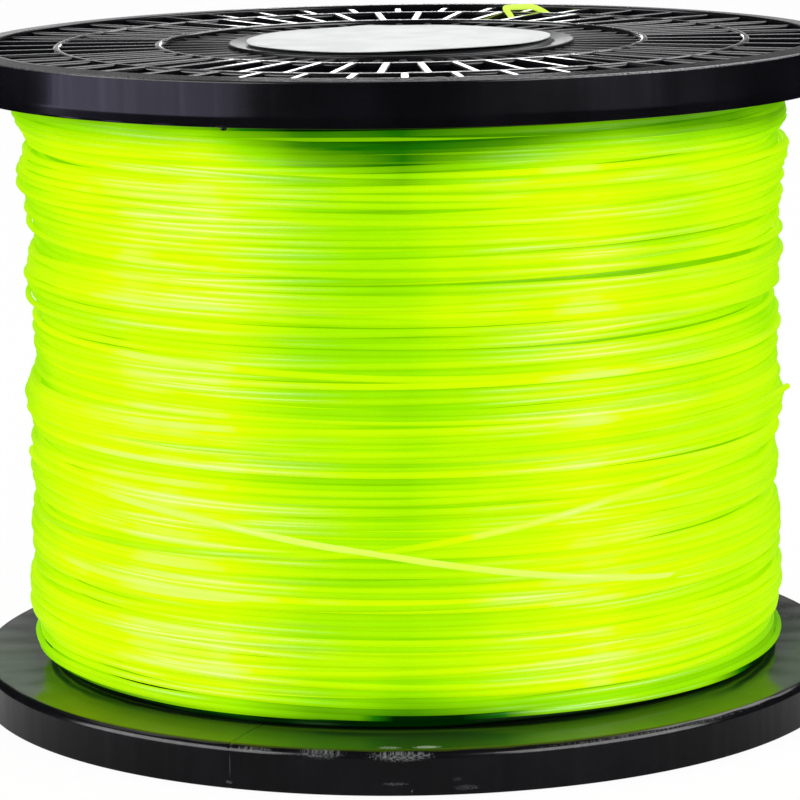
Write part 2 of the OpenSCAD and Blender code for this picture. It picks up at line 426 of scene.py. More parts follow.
def moulded_plastic(name, settings, base, way, scuffs_and_highlights):
    """Black plastic of a flange; base is its inner face's height, way is 1 if its ribs are up."""
    made, graph = material(name)
    radius, angle, z, place = spool_coordinates(graph)
    height = (z - base) * way
    aside = angle.math("ABSOLUTE")
    inner_face = graph.ease(height, 0.3, 0.1)
    tops = graph.ease(height, RING_H - 0.9, RING_H - 0.35)
    tops = tops * graph.ease(radius, RIM_INNER_R, RIM_INNER_R - 0.4)

    # The hub and the ribs round it are less polished
    dull = graph.ease(radius, BARREL_R - 0.6, BARREL_R - 1.6)
    grain = graph.noise(place, 1600, 3)
    clouds = graph.noise(place, 90, 3)
    streak_place = graph.node("ShaderNodeCombineXYZ", None, {0: angle, 1: z * 0.03})
    streaks = graph.noise(streak_place, 0.55, 4, 0.65)
    pale = rgba([c * 1.9 for c in settings.plastic])
    colour = graph.mix(graph.ease(clouds, 0.35, 0.75), rgba(settings.plastic), pale)
    roughness = 0.08 + clouds * 0.08 + streaks * 0.12 + dull * 0.12

    # Painted glow: the line's green light on the inner face, given off by the plastic itself,
    # which fades out towards the back
    painted_glow = graph.window(radius, (51.5, 58.5), (61.8, 63)) * inner_face
    painted_glow = painted_glow * (1 - graph.ease(aside, 15, 45) * 0.35) * graph.ease(aside, 115, 75)
    painted_line_glow = graph.mix(painted_glow, rgba((0, 0, 0)), rgba((0.012, 0.05, 0.002)))

    # Upright drag marks on the rim's wall
    wall = graph.ease(radius, FLANGE_R - 0.3, FLANGE_R - 0.1)
    drag = graph.ease(streaks, 0.42, 0.75) * wall * 0.3

    # Scuffs, and on the upper rim painted highlights, broken up by streaks along the rim, on
    # its wall and over its edge
    inwards = FLANGE_R - radius
    speckle_place = graph.node(
        "ShaderNodeCombineXYZ", None, {0: angle * 1.1, 1: (height + inwards) * 3}
    )
    speckle = graph.noise(speckle_place, 2.4, 4, 0.8)
    over = (height if way > 0 else z) + inwards
    wear_and_highlight = None
    for at, mid, wide, high, strength in scuffs_and_highlights:
        across = (angle - at) / wide
        up = (over - mid) / high
        spot = graph.ease(across * across + up * up, 1.5, 0.1)
        spot = graph.ease(speckle + spot * 0.3, 0.7, 0.98) * strength
        wear_and_highlight = spot if wear_and_highlight is None else wear_and_highlight.math("MAXIMUM", spot)

    # Sink marks behind the ribs show on the inner face as faint radial waves
    sink = (angle * (math.pi / 180 * RIB_COUNT)).math("COSINE") * inner_face
    relief = grain * 0.1 + streaks * 0.2 + sink * 0.5
    surface(graph, {
        "Base Color": graph.mix(wear_and_highlight, colour, rgba((0.42, 0.42, 0.44))),
        "Roughness": roughness + wear_and_highlight * 0.2,
        "Coat Weight": tops * 0.6 * (1 - dull) + drag,
        "Coat Roughness": 0.1,
        "Emission Color": painted_line_glow,
        "Emission Strength": 1.0,
        "Normal": graph.bump(relief, 0.35, 0.0001),
    })
    return made


def plain_plastic(name, settings):
    """Black plastic of the hidden barrel and of the sleeve."""
    made, graph = material(name)
    place = graph.node("ShaderNodeTexCoord", output="Object")
    clouds = graph.noise(place, 120, 3)
    grain = graph.noise(place, 1500, 2)
    pale = rgba([c * 2.2 for c in settings.plastic])
    surface(graph, {
        "Base Color": graph.mix(clouds, rgba(settings.plastic), pale),
        "Roughness": clouds * 0.15 + 0.28,
        "Normal": graph.bump(grain, 0.2, 0.0001),
    })
    return made


def label_paper(settings):
    """Bare white paper with faint fibres, a little darker towards its edge."""
    made, graph = material("bare_paper")
    radius, _, _, place = spool_coordinates(graph)
    fibres = graph.noise(place, 1800, 4, 0.7)
    clouds = graph.noise(place, 140, 3)
    darker_edge = graph.ease(radius + clouds * 3, LABEL_R - 3, LABEL_R + 1.5)
    shade = graph.ease(clouds + fibres * 0.3, 0.5, 0.82)
    dull = rgba([c * 0.84 for c in settings.paper])
    surface(graph, {
        "Base Color": graph.mix(shade * 0.6 + darker_edge * 0.2, rgba(settings.paper), dull),
        "Roughness": fibres * 0.1 + 0.62,
        "Normal": graph.bump(fibres, 0.3, 0.00006),
    })
    return made


def floor_paint():
    """Pale studio floor, white to the camera but for the spool's faint shadow."""
    made, graph = material("floor_paint")
    radius, angle, _, place = spool_coordinates(graph)
    rays = graph.node("ShaderNodeLightPath")
    seen, shiny = rays.out("Is Camera Ray"), rays.out("Is Glossy Ray")
    tone = graph.noise(place, 3, 2)
    colour = graph.mix(tone, rgba((0.80, 0.80, 0.80)), rgba((0.84, 0.84, 0.84)))
    matt = graph.node("ShaderNodeBsdfDiffuse", None, {"Color": colour})
    bright = graph.emission(rgba((1, 1, 1)))
    white = graph.node("ShaderNodeMixShader", None, {0: seen * 0.95, 1: matt, 2: bright})

    # In the gloss the floor shows bright at the left, dimmer at the right and dark in
    # front; it is dark near the spool, and pale again right under it
    left = graph.window(angle, (-100, -97), (-42, -39))
    right = graph.window(angle, (44, 50), (66, 71))
    spots = graph.window(angle, (77, 78), (79.5, 80.5))
    swell = (angle * (math.pi / 60)).math("SINE") * 0.12 + 1
    far = left * swell * 0.92 + right * 0.16 + spots * 0.2 + 0.008
    under = graph.ease(angle.math("ABSOLUTE"), 25, 125) * 0.5 + 0.15
    near = under * graph.ease(radius, 125, 105)
    violet = graph.rgb(far, far * 0.95, far * 1.36)
    level = graph.mix(graph.ease(radius, 200, 300), graph.rgb(near, near, near), violet)
    mixed = graph.node(
        "ShaderNodeMixShader", None, {0: shiny, 1: white, 2: graph.emission(level)}
    )
    graph.node("ShaderNodeOutputMaterial", None, {"Surface": mixed})
    return made


def studio_world(ambient):
    """White to the camera, even light on matt surfaces, and its own levels in the gloss."""
    world = bpy.data.worlds.new("studio")
    world.use_nodes = True
    graph = Graph(world.node_tree)
    rays = graph.node("ShaderNodeLightPath")
    place = graph.node("ShaderNodeTexCoord", output="Generated")
    x = graph.node("ShaderNodeSeparateXYZ", None, {0: place})
    y, z = x.out(1), x.out(2)
    # Straight behind, the gloss sees a pale skyline, over it a dim left and right, then
    # a dark band, and higher up two pale ends
    dim = graph.ease(x, 0.04, -0.09) * 0.2 + 0.1
    dark_band = graph.window(z, (0.11, 0.13), (0.205, 0.22))
    skyline = graph.window(z, (0.02, 0.035), (0.066, 0.077))
    ends = graph.ease(x.math("ABSOLUTE"), 0.07, 0.09) * graph.ease(z, 0.21, 0.23)
    dim = dim * (1 - dark_band * 0.75) + skyline * 0.9 + ends * 0.4
    overhead = graph.ease(y, 0.05, 0.3) * graph.ease(z, 0.6, 0.8)
    behind = graph.ease(y, 0.9, 0.97) * dim + overhead * 0.8 + 0.02
    shiny = rays.out("Is Glossy Ray").math("MAXIMUM", rays.out("Is Transmission Ray"))
    white = rays.out("Is Camera Ray").math("MAXIMUM", shiny * behind)
    plain = (1 - rays.out("Is Camera Ray").math("MAXIMUM", shiny)) * ambient
    light = graph.node(
        "ShaderNodeBackground", None, {"Color": rgba((1, 1, 1)), "Strength": white + plain}
    )
    graph.node("ShaderNodeOutputWorld", None, {"Surface": light})
    return world


def new_object(name, vertices, faces, edges=()):
    """A mesh object at the origin, from points in millimetres."""
    mesh = bpy.data.meshes.new(name)
    points = np.asarray(vertices, float) * MM
    mesh.from_pydata(points.tolist(), list(edges), faces)
    mesh.update()
    made = bpy.data.objects.new(name, mesh)
    bpy.context.scene.collection.objects.link(made)
    return made


def smooth(piece):
    """Shades a piece smooth."""
    piece.data.polygons.foreach_set("use_smooth", [True] * len(piece.data.polygons))
    piece.data.update()


def grow(piece, tree, values):
    """Runs a Geometry Nodes tree on a piece, keeps the plain mesh and removes the tree."""
    modifier = piece.modifiers.new(tree.name, "NODES")
    modifier.node_group = tree
    sockets = {
        item.name: item.identifier
        for item in tree.interface.items_tree
        if item.item_type == "SOCKET" and item.in_out == "INPUT"
    }
    for name, value in values.items():
        modifier[sockets[name]] = value
    piece.update_tag()
    seen = piece.evaluated_get(bpy.context.evaluated_depsgraph_get())
    mesh = bpy.data.meshes.new_from_object(seen)
    if not len(mesh.polygons):
        raise RuntimeError(f"{tree.name} made nothing for {piece.name}")
    piece.modifiers.remove(modifier)
    piece.data = mesh
    bpy.data.node_groups.remove(tree)


def join(name, parts):
    """One mesh object of several."""
    points, faces, count = [], [], 0
    for part in parts:
        mesh = part.data
        co = np.zeros(len(mesh.vertices) * 3)
        mesh.vertices.foreach_get("co", co)
        points.append(co.reshape(-1, 3) / MM)
        faces += [[v + count for v in face.vertices] for face in mesh.polygons]
        count += len(mesh.vertices)
    for part in parts:
        bpy.data.objects.remove(part)
    return new_object(name, np.concatenate(points), faces)


def dress(piece, paint, slot, *nodes):
    """Gives a finished piece its material and its body, and hides the parts it stands for; slot is not
    used.
    """
    piece.data.materials.clear()
    piece.data.materials.append(paint)
    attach(piece, "root")
    if nodes:
        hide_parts(*nodes)
    return piece


def node_tree(name, inputs):
    """A Geometry Nodes tree with a geometry in and out, and named inputs."""
    tree = bpy.data.node_groups.new(name, "GeometryNodeTree")
    add = tree.interface.new_socket
    add("Geometry", in_out="OUTPUT", socket_type="NodeSocketGeometry")
    add("Geometry", in_out="INPUT", socket_type="NodeSocketGeometry")
    for title, kind, default in inputs:
        socket = add(title, in_out="INPUT", socket_type=kind)
        if default is not None:
            socket.default_value = default
    graph = Graph(tree)
    return tree, graph, graph.node("NodeGroupInput")


def end_tree(graph, start, shape):
    """Realizes what a tree made, gives it its material and ends the tree."""
    real = graph.node("GeometryNodeRealizeInstances", None, {0: shape})
    painted = graph.node(
        "GeometryNodeSetMaterial", None, {"Geometry": real, "Material": start.out("Material")}
    )
    graph.node("NodeGroupOutput", None, {0: painted})


def strand_tree():
    """Sweeps a round strand along the edges of a mesh."""
    tree, graph, start = node_tree("line_strand", [
        ("Diameter", "NodeSocketFloat", 0.0009),
        ("Sides", "NodeSocketInt", 8),
        ("Material", "NodeSocketMaterial", None),
    ])
    curve = graph.node("GeometryNodeMeshToCurve", None, {0: start})
    profile = graph.node("GeometryNodeCurvePrimitiveCircle", None, {
        "Resolution": start.out("Sides"), "Radius": start.out("Diameter") * 0.5,
    })
    tube = graph.node("GeometryNodeCurveToMesh", None, {
        "Curve": curve, "Profile Curve": profile, "Fill Caps": True,
    })
    round_tube = graph.node("GeometryNodeSetShadeSmooth", None, {0: tube})
    end_tree(graph, start, round_tube)
    return tree


def rib_tree():
    """Repeats one rib round the spool's axis."""
    tree, graph, start = node_tree("ring_of_ribs", [
        ("Count", "NodeSocketInt", RIB_COUNT),
        ("First Angle", "NodeSocketFloat", 0.0),
        ("Material", "NodeSocketMaterial", None),
    ])
    points = graph.node("GeometryNodePoints", None, {"Count": start.out("Count")})
    turn = graph.node("GeometryNodeInputIndex") / start.out("Count") * (2 * math.pi)
    angle = turn + start.out("First Angle")
    spin = graph.node("ShaderNodeCombineXYZ", None, {2: angle})
    ribs = graph.node("GeometryNodeInstanceOnPoints", None, {
        "Points": points, "Instance": start, "Rotation": spin,
    })
    end_tree(graph, start, ribs)
    return tree


def put_painted_shade(piece, tone):
    """Keeps at each point how green the line looks there, its painted light and shade, for its
    material.
    """
    layer = piece.data.attributes.new("tone", "FLOAT", "POINT")
    layer.data.foreach_set("value", np.asarray(tone, np.float32))


def sweep(name, path, tone, sides, settings, *nodes):
    """A dressed strand of line along a path in millimetres, with its painted light and shade at each
    point.
    """
    piece = new_object(name, path, [], [(i, i + 1) for i in range(len(path) - 1)])
    put_painted_shade(piece, tone)
    paint = line_paint(settings)
    grow(piece, strand_tree(), {
        "Diameter": settings.strand, "Sides": sides, "Material": paint,
    })
    return dress(piece, paint, "line_nylon", *nodes)


def polar(angle, radius, z):
    """Points at compass angles in degrees, 0 at the front and growing towards +X."""
    turn = np.radians(angle)
    return np.stack([radius * np.sin(turn), -radius * np.cos(turn), z], -1)


def rounded(corners):
    """A profile of (r, z, rounding) corners with arcs, and a guard point beside each."""
    out = []
    count = len(corners)
    for i, (r, z, size) in enumerate(corners):
        here = np.array([r, z], float)
        if size == 0:
            out.append(here)
            continue
        before = np.array(corners[i - 1][:2], float) - here
        after = np.array(corners[(i + 1) % count][:2], float) - here
        a, b = before / np.linalg.norm(before), after / np.linalg.norm(after)
        cosine = float(np.dot(a, b))
        half = math.acos(max(-1, min(1, cosine))) / 2
        back = size / math.tan(half)
        guard = min(0.25, 0.3 * size)
        middle = here + (a + b) / np.linalg.norm(a + b) * (size / math.sin(half))
        first, last = here + a * back, here + b * back
        out.append(first + a * guard)
        steps = 5 if size > 1 else 3
        for k in range(steps + 1):
            mixed = (first - middle) * (1 - k / steps) + (last - middle) * (k / steps)
            out.append(middle + mixed / np.linalg.norm(mixed) * size)
        out.append(last + b * guard)
    return np.array(out)


def turned(name, profile, angles, seam=None):
    """A closed profile turned round the axis; seam gives each column's depth inwards."""
    rows, columns = len(profile), len(angles)
    run = np.roll(profile, -1, 0) - np.roll(profile, 1, 0)
    inward = np.stack([-run[:, 1], run[:, 0]], -1)
    inward /= np.linalg.norm(inward, axis=1)[:, None]
    # The seam is deeper in the inner face, and only beyond its first radius
    share = np.where(profile[:, 1] < 0.2, FACE_SEAM, 1) * (profile[:, 0] > SEAM_R)
    points = []
    for i, angle in enumerate(angles):
        section = profile
        if seam is not None and seam[i] > 0:
            section = profile + inward * share[:, None] * seam[i]
        points.append(polar(np.full(rows, angle), section[:, 0], section[:, 1]))
    faces = []
    for i in range(columns):
        a, b = i * rows, (i + 1) % columns * rows
        for k in range(rows):
            n = (k + 1) % rows
            faces.append((a + k, b + k, b + n, a + n))
    return new_object(name, np.concatenate(points), faces)


def quads(a, b, count):
    """Faces between two rings of points, given the number of each ring's first point."""
    following = [(k + 1) % count for k in range(count)]
    return [(a + k, a + n, b + n, b + k) for k, n in enumerate(following)]


def rib_mesh(name, inner, outer, top, width):
    """One rib along +X: a rounded, slightly drafted bar on the web."""
    half, base, r = width / 2, width / 2 + 0.12, 0.22
    corner = [math.pi / 2 * k / 3 for k in range(4)]
    side = [(-base, WEB_T - 0.3), (-half, top - r - 0.2)]
    side += [(-half + r - r * math.cos(a), top - r + r * math.sin(a)) for a in corner]
    side += [(-half + r + 0.1, top)]
    section = side + [(-y, z) for y, z in reversed(side)]
    points = [
        (x, y, z) for x in (inner, inner + 0.1, outer - 0.1, outer) for y, z in section
    ]
    n = len(section)
    faces = [face for a in (0, n, 2 * n) for face in quads(a, a + n, n)]
    faces += [tuple(reversed(range(n))), tuple(range(3 * n, 4 * n))]
    return new_object(name, points, [face[::-1] for face in faces])


def flange_profile(lip):
    """Half section of a flange over its inner face; lip has the corners of that edge."""
    half = RING_W / 2
    # The spigot that holds the barrel, and the collar round the sleeve
    spigot_inner, spigot_outer, spigot_z = BARREL_R - 3.4, BARREL_R - 1.8, -5
    collar, collar_foot, hub_roof = SLEEVE_R + 1.8, RING_H - 6, RING_H - 2
    corners = [
        (HUB_R - RING_W, 0, 0), (spigot_inner, 0, 0), (spigot_inner, spigot_z, 0),
        (spigot_outer, spigot_z, 0), (spigot_outer, 0, 0), *lip,
        (FLANGE_R, RIM_H - 0.2, 0.25), (RIM_INNER_R, RIM_H, 0.3),
    ]
    for outer, inner in (
        (RIM_INNER_R, OUTER_RING_R + half),
        (OUTER_RING_R - half, BARREL_R + half),
        (BARREL_R - half, HUB_R),
    ):
        corners += [(outer, WEB_T, 0.3), (inner, WEB_T, 0.3)]
        if inner == HUB_R:
            # The hub's top dips to a shallow groove round the label
            corners += [(HUB_R, RING_H, 0.25), (HUB_R - 2.9, RING_H - 0.36, 0.2),
                        (HUB_R - 3.5, RING_H, 0)]
        else:
            corners += [(inner, RING_H, 0.4), (inner - RING_W, RING_H, 0.4)]
    corners += [
        (SLEEVE_R, RING_H, 0), (SLEEVE_R, collar_foot, 0), (collar, collar_foot, 0),
        (collar, hub_roof, 0), (HUB_R - RING_W, hub_roof, 0),
    ]
    return rounded(corners)


def seam_columns(depth):
    """Compass angles of a turned flange and the seam's depth there, closer at the seam."""
    first = 0.4
    angles = [(k * COLUMN_STEP + first, 0.0) for k in range(int(360 / COLUMN_STEP))]
    near = ((SEAM_ANGLE + 360 - first) % 360) + first
    angles = [a for a in angles if abs(a[0] - near) > 0.5]
    share = ((-0.4, 0), (-0.2, 0), (-0.06, 1), (0, 1), (0.06, 1), (0.2, 0), (0.4, 0))
    angles += [(near + off, depth * part) for off, part in share]
    return zip(*sorted(angles))


def make_flange(name, settings, lip, seam):
    """One flange at z = 0, ribs towards +Z; seam is the share of the seam's depth."""
    angles, depths = seam_columns(settings.seam_depth / MM * seam)
    half, step, top_z = RING_W / 2, 360 / RIB_COUNT, RING_H - 0.02
    parts = [turned(f"{name}_body", flange_profile(lip), angles, depths)]
    for inner, outer, top, turn in (
        (OUTER_RING_R + half, RIM_INNER_R, top_z, 0),
        (BARREL_R + half, OUTER_RING_R - half, top_z, step / 2),
        (HUB_R, BARREL_R - half, HUB_RIB_H, 0),
    ):
        rib = rib_mesh(
            f"{name}_ribs", inner - RIB_BITE, outer + RIB_BITE, top, settings.rib_width / MM
        )
        grow(rib, rib_tree(), {
            "Count": RIB_COUNT,
            "First Angle": math.radians(RIB_PHASE + turn - 90),
        })
        parts.append(rib)
    return join(name, parts)


def gate_nib():
    """The small nib that the mould's gate left under the upper rim, at z = 0."""
    profile = [(0.3, 0.2), (0.42, 0.1), (0.4, -0.3), (0.32, -0.4), (0.02, -0.42), (0.02, 0.2)]
    nib = turned("gate_nib", np.array(profile), np.arange(0, 360, 30))
    nib.data.transform(Matrix.Translation(Vector(polar(NIB_ANGLE, NIB_R, 0)) * MM))
    return nib


def place_mesh(piece, base, way):
    """Puts a flange's inner face at its height, and its ribs down if way is -1."""
    piece.data.transform(
        Matrix.Translation((0, 0, base * MM)) @ Matrix.Scale(way, 4, (0, 0, 1))
    )
    if way < 0:
        piece.data.flip_normals()
    piece.data.update()


def blur(values, width):
    """Values blurred along a path, width in samples."""
    reach = int(3 * width)
    kernel = np.exp(-0.5 * (np.arange(-reach, reach + 1) / width) ** 2)
    padded = np.pad(values, reach, mode="edge")
    return np.convolve(padded, kernel / kernel.sum(), mode="valid")


def crests(values, reach):
    """The highest value within reach samples to either side."""
    padded = np.pad(values, reach, mode="edge")
    shifted = [padded[k:k + len(values)] for k in range(2 * reach + 1)]
    return np.max(shifted, axis=0)


def bell(off):
    """1 at the middle, falling smoothly to either side."""
    return np.exp(-(off**2))


def wander(rng, places, period):
    """A smooth random curve over places, of unit spread and the given period."""
    knots = rng.normal(size=int((places[-1] - places[0]) / period) + 4)
    at = (places - places[0]) / period
    low = at.astype(int)
    share = at - low
    share = share * share * (3 - 2 * share)
    return knots[low] * (1 - share) + knots[low + 1] * share


class Drum:
    """The wound surface as a height field: radius by angle step and by bin of height."""

    def __init__(self, settings, rng):
        self.bins = np.arange(WIND_BOTTOM, WIND_TOP, BIN)
        self.level = mean_surface(settings, rng, self.bins)
        self.height = self.level - settings.layers * settings.strand / MM * NESTING
        self.r = settings.strand / MM / 2
        reach = int(self.r / BIN) + 1
        self.window = np.arange(-reach, reach + 1)

    def mean(self, at, z):
        """The mean radius of the wound surface at places along the path."""
        steps = np.round(at * TURN_STEPS).astype(int) % TURN_STEPS
        near = np.clip(((z - WIND_BOTTOM) / BIN).astype(int), 0, len(self.bins) - 1)
        return self.level[steps, near]

    def under(self, z):
        """The bins under a strand at these heights, and how far off its middle they lie."""
        near = np.round((z - WIND_BOTTOM) / BIN).astype(int)
        near = np.clip(near[:, None] + self.window, 0, len(self.bins) - 1)
        return near, self.bins[near] - z[:, None]

    def touch(self, steps, z):
        """Radius at which a strand at these places just rests on what is below it."""
        near, off = self.under(z)
        lift = np.sqrt(np.clip(self.r**2 - off**2, 0, None))
        ground = self.height[steps[:, None], near]
        return np.where(np.abs(off) < self.r, ground + lift, 0).max(1)

    def lay(self, first, z, start, end, slip=0.0):
        """Lays z[start:end], the path's steps from first on, and returns its z and radius."""
        steps = (first + np.arange(len(z))) % TURN_STEPS
        if slip:
            # The strand slips sideways, where it then lies deeper
            offs = np.arange(-3, 4) * slip / 3
            cost = [blur(self.touch(steps, z + off), 5) + 0.25 * abs(off) for off in offs]
            z = z + blur(offs[np.argmin(cost, axis=0)], 5)
        radius = blur(crests(self.touch(steps, z), 2), 2.5)
        z, radius, steps = z[start:end], radius[start:end], steps[start:end]
        near, off = self.under(z)
        top = radius[:, None] + np.sqrt(np.clip(self.r**2 - off**2, 0, None))
        inside = np.abs(off) < self.r
        rows = np.broadcast_to(steps[:, None], near.shape)
        np.maximum.at(self.height, (rows[inside], near[inside]), top[inside])
        return z, radius

    def lay_over(self, angles, route, proud):
        """Lays a late turn along a route; its height and radius, at most proud of the mean."""
        height = blur(np.interp(angles, *zip(*route)), 2)
        first = round((angles[0] + 180) / 360 * TURN_STEPS)
        height, radius = self.lay(first, height, 0, len(angles))
        return height, np.minimum(radius, self.mean(angles / 360 + 0.5, height) + proud)


def guide_path(rng, settings):
    """Height of the line's guide over the whole of the separate layers."""
    strand, pitch = settings.strand / MM, settings.pitch / MM
    margin = strand * 0.62
    low, high = WIND_BOTTOM + margin, WIND_TOP - margin
    turns = int(settings.layers * (high - low) / pitch)
    at = np.arange(turns * TURN_STEPS) / TURN_STEPS
    # The guide runs to and fro, now faster and now slower
    speed = pitch * np.clip(1 + 0.4 * wander(rng, at, 2.5), 0.25, 2.2)
    run = np.cumsum(speed) / TURN_STEPS
    run *= settings.layers * (high - low) / run[-1]
    fold = np.abs((run / (high - low)) % 2 - 1)
    z = low + (high - low) * fold
    loose = settings.wander / MM
    z = z + loose * wander(rng, at, 0.4) + 0.5 * loose * wander(rng, at, 1.3)
    # Here and there a turn jumps over its neighbours and back
    for _ in range(10 * settings.layers):
        middle = rng.uniform(0, at[-1])
        reach = rng.uniform(0.35, 0.8)
        jump = rng.uniform(1.5, 4) * rng.choice([-1, 1])
        z = z + jump * bell((at - middle) / reach)
    return at, np.clip(z, low, high)


def mean_surface(settings, rng, bins):
    """Mean radius of the finished winding, by angle step of a turn and by bin of height."""
    # The first step of a turn is at the back
    turn = np.arange(TURN_STEPS) * 2 * math.pi / TURN_STEPS
    left = np.interp(bins, *zip(*LEFT_SWELL))
    right = np.interp(bins, *zip(*RIGHT_SWELL))
    front = 0.3 + 0.2 * wander(rng, bins, 3.1)
    for groove in FRONT_GROOVES:
        front = front - 0.6 * bell((bins - groove) / 0.6)
    # The lowest turns lie on a smaller round there
    front = front - 2.4 * np.clip((9.2 - bins) / 2.8, 0, 1)
    back = 0.45 * wander(rng, bins, 3.4) + 0.25 * wander(rng, bins, 1.9)
    side = -np.sin(turn)[:, None]
    face = -np.cos(turn)[:, None]
    shape = np.where(side > 0, right * side**2, left * side**2)
    shape = shape + np.where(face > 0, front, back) * face**2
    return settings.radius / MM - settings.strand / 2 / MM + shape


def wind(settings):
    """The separate layers of turns: the drum with them, their points and their painted light and
    shade.
    """
    rng = np.random.default_rng(settings.seed)
    drum = Drum(settings, rng)
    at, z = guide_path(rng, settings)
    radius = np.zeros_like(z)
    # Each turn is laid with a stretch to either side, so that it joins the next smoothly
    spare, slip = TURN_STEPS // 6, 0.4
    for start in range(0, len(z), TURN_STEPS):
        end = min(start + TURN_STEPS, len(z))
        low, high = max(0, start - spare), min(len(z), start + TURN_STEPS + spare)
        laid = drum.lay(low, z[low:high], start - low, end - low, slip)
        z[start:end], radius[start:end] = laid
    # Some stretches lie slack, and what stands proud is pressed down
    slack = np.clip(wander(rng, at, 0.3) - 0.9, 0, 1.2) * 0.35
    radius, z = blur(radius, 1.5) + slack, blur(z, 2)
    proud = radius - drum.mean(at, z)
    radius = radius - np.clip(proud - 0.1, 0, None) * 0.75
    angle = at * 360 + 180
    side = (angle + 180) % 360 - 180
    # The lowest turns have crept up where they lie loose
    creep = np.interp(side, *zip(*FOOT_CREEP))
    z = z + creep * np.clip((9.5 - z) / 2.5, 0, 1)
    # Turns in front and behind differ more from each other than those at the sides
    front = bell(np.minimum(np.abs(side), 180 - np.abs(side)) / 30)
    tone = painted_turn_shade(side, z, front, proud) + (0.03 + 0.04 * front) * wander(rng, at, 0.8)
    return drum, polar(angle, radius, z), np.clip(tone, 0, 1)


def painted_turn_shade(side, z, front, proud):
    """How green turns look, as painted light and shade: by compass angle, darker where they lie deep,
    and the flanges' painted shade.
    """
    angles, starts, fulls, depths = zip(*TOP_SHADE)
    start, full, depth = (np.interp(side, angles, row) for row in (starts, fulls, depths))
    above = depth * np.clip((z - start) / (full - start), 0, 1)
    above = above + 0.4 * np.clip((z - 88.1) / 0.6, 0, 1)
    contact = np.interp(side, *zip(*FOOT_SHADE))
    below = 0.8 * np.clip((contact - z) / 0.9, 0, 1)
    below = below + (0.19 + 0.15 * front) * np.clip((10.6 - z) / 1.2, 0, 1)
    sunk = np.clip(-proud - 0.1, 0, 0.9)
    return np.interp(side, *zip(*PAINTED_SHADE_BY_ANGLE)) + 0.1 * sunk + above + below


def inner_layers(settings):
    """The layers under the separate ones: a closed ring whose face is ribbed by its turns."""
    strand, gap, sunk = settings.strand / MM, 0.05, 1.6
    lowest = settings.radius / MM - strand * (settings.layers * NESTING + 0.5)
    count = int((WIND_TOP - WIND_BOTTOM) / strand * 4)
    heights = np.linspace(WIND_BOTTOM + gap, WIND_TOP - gap, count)
    waves = 0.3 * np.abs(np.sin(heights * math.pi / strand))
    face = [(lowest - sunk + wave, h) for wave, h in zip(waves, heights)]
    bore = [(BARREL_R + gap, heights[-1]), (BARREL_R + gap, heights[0])]
    inner = turned("winding_inner_layers", np.array(face + bore), np.arange(0, 360, 4.0))
    smooth(inner)
    # Painted shade: darkest next to the flanges
    middle = (WIND_TOP + WIND_BOTTOM) / 2
    reach = (WIND_TOP - WIND_BOTTOM) / 2 - 2.5
    ends = [abs(v.co.z / MM - middle) > reach for v in inner.data.vertices]
    put_painted_shade(inner, np.where(ends, 1.0, 0.5))
    dress(inner, line_paint(settings), "line_nylon", "line_core")


def catmull(points, parts):
    """A smooth line through points, with parts pieces between each two."""
    points = np.asarray(points, float)
    ends = np.concatenate([[2 * points[0] - points[1]], points, [2 * points[-1] - points[-2]]])
    out = []
    for i in range(1, len(ends) - 2):
        a, b, c, d = ends[i - 1:i + 3]
        for k in range(parts):
            t = k / parts
            out.append(0.5 * (
                2 * b + (c - a) * t + (2 * a - 5 * b + 4 * c - d) * t * t
                + (3 * b - a - 3 * c + d) * t**3
            ))
    out.append(points[-1])
    return np.array(out)


def hump(angles, middle, reach):
    """A hump of height 1 round a compass angle."""
    off = (angles - middle + 180) % 360 - 180
    return bell(off / reach)


def soft_light(name, place, size, power):
    """A soft light that faces the spool's middle and isn't seen itself."""
    data = bpy.data.lights.new(name, "AREA")
    data.shape = "RECTANGLE"
    data.size, data.size_y = size
    data.energy = power
    made = bpy.data.objects.new(name, data)
    bpy.context.scene.collection.objects.link(made)
    made.location = place
    toward = Vector(LIGHT_AIM) - Vector(place)
    made.rotation_euler = toward.to_track_quat("-Z", "Y").to_euler()
    made.visible_camera = False


class SPOOL_OT_camera(Operator):
    """Add the camera, low in front of the spool and looking slightly down on it"""

    bl_idname = "spool.camera"
    bl_label = "Camera"

    def execute(self, context):
        tilt, roll, turn = CAMERA_TILT, CAMERA_ROLL, CAMERA_TURN
        right = Vector((math.cos(turn), math.sin(turn), 0))
        level = Vector((-math.sin(turn), math.cos(turn), 0))
        ahead = math.cos(tilt) * level - math.sin(tilt) * Vector((0, 0, 1))
        up = math.sin(tilt) * level + math.cos(tilt) * Vector((0, 0, 1))
        side = math.cos(roll) * right + math.sin(roll) * up
        top = math.cos(roll) * up - math.sin(roll) * right
        data = bpy.data.cameras.new("camera")
        data.sensor_width = 36
        data.lens = CAMERA_LENS
        data.clip_start, data.clip_end = 0.01, 50
        made = bpy.data.objects.new("camera", data)
        context.scene.collection.objects.link(made)
        facing = Matrix((side, top, -ahead)).transposed().to_4x4()
        made.matrix_world = Matrix.Translation(CAMERA_PLACE) @ facing
        context.scene.camera = made
        return {"FINISHED"}


class SPOOL_OT_start_tail(Operator):
    """Add the tail of the line's start, a free cord over the upper flange"""

    bl_idname = "spool.start_tail"
    bl_label = "Tail of the line's start"

    def execute(self, context):
        settings = context.scene.spool_line
        route = catmull([(x, y, z + WIND_TOP) for x, y, z in TAIL], 4)
        # The tail gets the palest tone all along, a painted highlight
        tone = np.zeros(len(route))
        tail = sweep("start_tail", route, tone, 12, settings, "line_start_tail")
        route = route * MM
        return {"FINISHED"}


